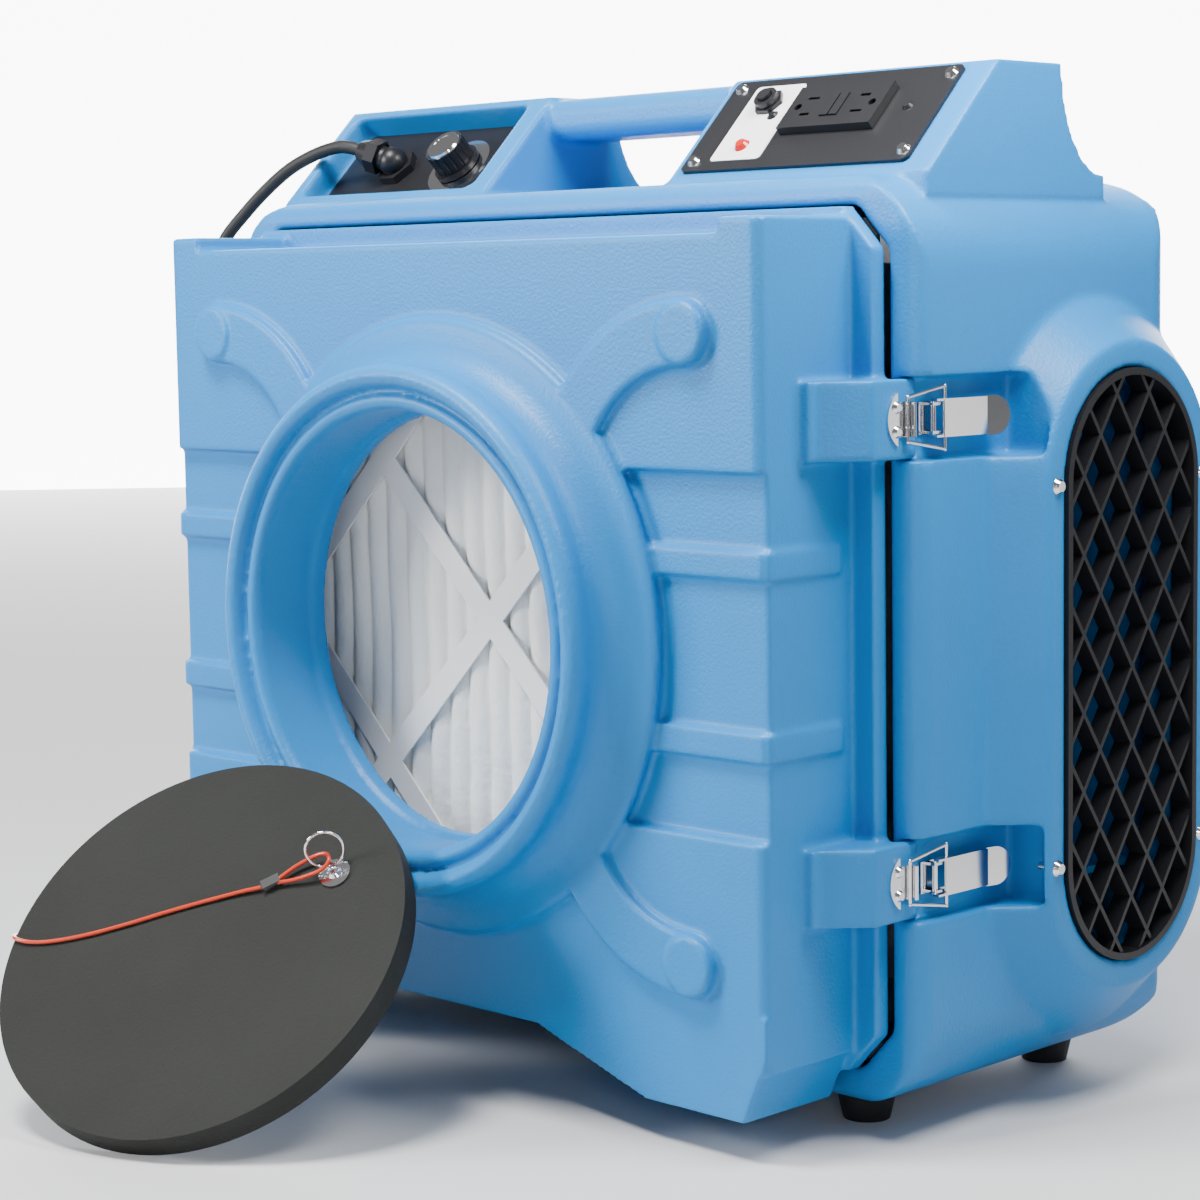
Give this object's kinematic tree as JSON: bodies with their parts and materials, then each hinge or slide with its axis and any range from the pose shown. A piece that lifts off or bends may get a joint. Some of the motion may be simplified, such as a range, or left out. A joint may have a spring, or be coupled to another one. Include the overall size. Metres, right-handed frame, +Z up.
{
  "type": "portable air scrubber",
  "caption": "Moulded box air cleaner with a latched front cover and round intake collar, filters, a blower, a side outlet grille, top controls, a handle and a loose foam intake plug.",
  "frame": {"origin": "on the floor, in the housing's left-right mid plane, under the y = 0 plane of the model", "axes": "+Z up, -Y towards the intake collar at the front, +X towards the side outlet grille"},
  "size_m": [0.7363, 0.5962, 0.574],
  "materials": {
    "housing_blue": "satin, fine texture",
    "rubber_black": "matt",
    "sheet_steel": "brushed",
    "chrome": "polished",
    "motor_grey": "satin",
    "plastic_black": "satin",
    "label_white": "printed film",
    "lamp_red": "translucent",
    "card_white": "card",
    "filter_white": "fibrous",
    "filter_metal": "mill",
    "foam_grey": "closed cell foam",
    "lanyard_red": "clear coated",
    "brass": "bright"
  },
  "bodies": {
    "housing": {"main_housing": "housing_blue", "rubber_feet": "rubber_black", "bulkhead": "sheet_steel", "inlet_ring": "sheet_steel", "blower_scroll": "housing_blue", "motor_mount": "sheet_steel", "motor": "motor_grey", "speed_controller": "plastic_black", "outlet_grille": "plastic_black", "grille_screws": "chrome", "control_plate": "plastic_black", "control_screws": "chrome", "dial_scale": "chrome", "gland_body": "plastic_black", "gland_nut": "plastic_black", "power_panel": "plastic_black", "panel_screws": "chrome", "panel_label": "label_white", "breaker_body": "plastic_black", "indicator_lamp": "lamp_red", "receptacle": "plastic_black", "receptacle_screws": "plastic_black", "front_cover": "housing_blue", "cover_gasket": "rubber_black", "filter_tray": "sheet_steel", "pre_filter_frame": "card_white", "pre_filter_media": "filter_white", "hepa_frame": "filter_metal", "hepa_media": "filter_white", "latch_keepers": "chrome", "latch_bases": "chrome", "cord_tube": "rubber_black", "cord_coil": "rubber_black", "cord_tie": "rubber_black", "cord_tail": "rubber_black", "cord_plug": "rubber_black", "plug_blades": "brass"},
    "impeller": {"motor_shaft": "chrome", "impeller": "plastic_black"},
    "knob": {"speed_knob": "plastic_black", "knob_cap": "chrome"},
    "breaker_button": {"breaker_button": "plastic_black"},
    "test_button": {"test_button": "plastic_black"},
    "reset_button": {"reset_button": "plastic_black"},
    "lever_right_upper": {"lever_right_upper": "chrome"},
    "lever_right_lower": {"lever_right_lower": "chrome"},
    "lever_left_upper": {"lever_left_upper": "chrome"},
    "lever_left_lower": {"lever_left_lower": "chrome"},
    "bail_right_upper": {"bail_right_upper": "chrome"},
    "bail_right_lower": {"bail_right_lower": "chrome"},
    "bail_left_upper": {"bail_left_upper": "chrome"},
    "bail_left_lower": {"bail_left_lower": "chrome"},
    "plug": {"plug_disc": "foam_grey", "disc_washer": "chrome", "split_ring": "chrome", "lanyard_wire": "lanyard_red", "lanyard_ferrules": "chrome", "end_ring": "chrome"}
  },
  "joints": [
    {"name": "lever_right_upper_swing", "type": "hinge", "parent": "housing", "child": "lever_right_upper", "pos_m": [0.276, -0.087, 0.386], "axis": [0, 0, -1], "range_deg": [0, 110]},
    {"name": "bail_right_upper_swing", "type": "hinge", "parent": "lever_right_upper", "child": "bail_right_upper", "pos_m": [0.277, -0.079, 0.386], "axis": [0, 0, -1], "range_deg": [-100, 0]},
    {"name": "lever_right_lower_swing", "type": "hinge", "parent": "housing", "child": "lever_right_lower", "pos_m": [0.276, -0.087, 0.1435], "axis": [0, 0, -1], "range_deg": [0, 110]},
    {"name": "bail_right_lower_swing", "type": "hinge", "parent": "lever_right_lower", "child": "bail_right_lower", "pos_m": [0.277, -0.079, 0.1435], "axis": [0, 0, -1], "range_deg": [-100, 0]},
    {"name": "lever_left_upper_swing", "type": "hinge", "parent": "housing", "child": "lever_left_upper", "pos_m": [-0.276, -0.087, 0.386], "axis": [0, 0, 1], "range_deg": [0, 110]},
    {"name": "bail_left_upper_swing", "type": "hinge", "parent": "lever_left_upper", "child": "bail_left_upper", "pos_m": [-0.277, -0.079, 0.386], "axis": [0, 0, 1], "range_deg": [-100, 0]},
    {"name": "lever_left_lower_swing", "type": "hinge", "parent": "housing", "child": "lever_left_lower", "pos_m": [-0.276, -0.087, 0.1435], "axis": [0, 0, 1], "range_deg": [0, 110]},
    {"name": "bail_left_lower_swing", "type": "hinge", "parent": "lever_left_lower", "child": "bail_left_lower", "pos_m": [-0.277, -0.079, 0.1435], "axis": [0, 0, 1], "range_deg": [-100, 0]},
    {"name": "impeller_spin", "type": "hinge", "parent": "housing", "child": "impeller", "pos_m": [0, 0.03, 0.267], "axis": [0, 1, 0], "continuous": true},
    {"name": "speed_turn", "type": "hinge", "parent": "housing", "child": "knob", "pos_m": [-0.143, -0.04032, 0.53804], "axis": [0, 0.7071, -0.7071], "range_deg": [0, 270]},
    {"name": "breaker_press", "type": "slide", "parent": "housing", "child": "breaker_button", "axis": [0, 0.7071, -0.7071], "range_m": [0, 0.003], "stiffness_N_per_m": 900},
    {"name": "test_press", "type": "slide", "parent": "housing", "child": "test_button", "axis": [0, 0.7071, -0.7071], "range_m": [0, 0.0014], "stiffness_N_per_m": 900},
    {"name": "reset_press", "type": "slide", "parent": "housing", "child": "reset_button", "axis": [0, 0.7071, -0.7071], "range_m": [0, 0.0014], "stiffness_N_per_m": 900},
    {"name": "plug_aside", "type": "slide", "parent": "housing", "child": "plug", "axis": [-0.8192, -0.5736, 0], "range_m": [0, 0.25]}
  ],
  "couplings": [
    {"joint": "bail_right_upper_swing", "follows": "lever_right_upper_swing", "ratio": -0.88},
    {"joint": "bail_right_lower_swing", "follows": "lever_right_lower_swing", "ratio": -0.88},
    {"joint": "bail_left_upper_swing", "follows": "lever_left_upper_swing", "ratio": -0.88},
    {"joint": "bail_left_lower_swing", "follows": "lever_left_lower_swing", "ratio": -0.88}
  ]
}
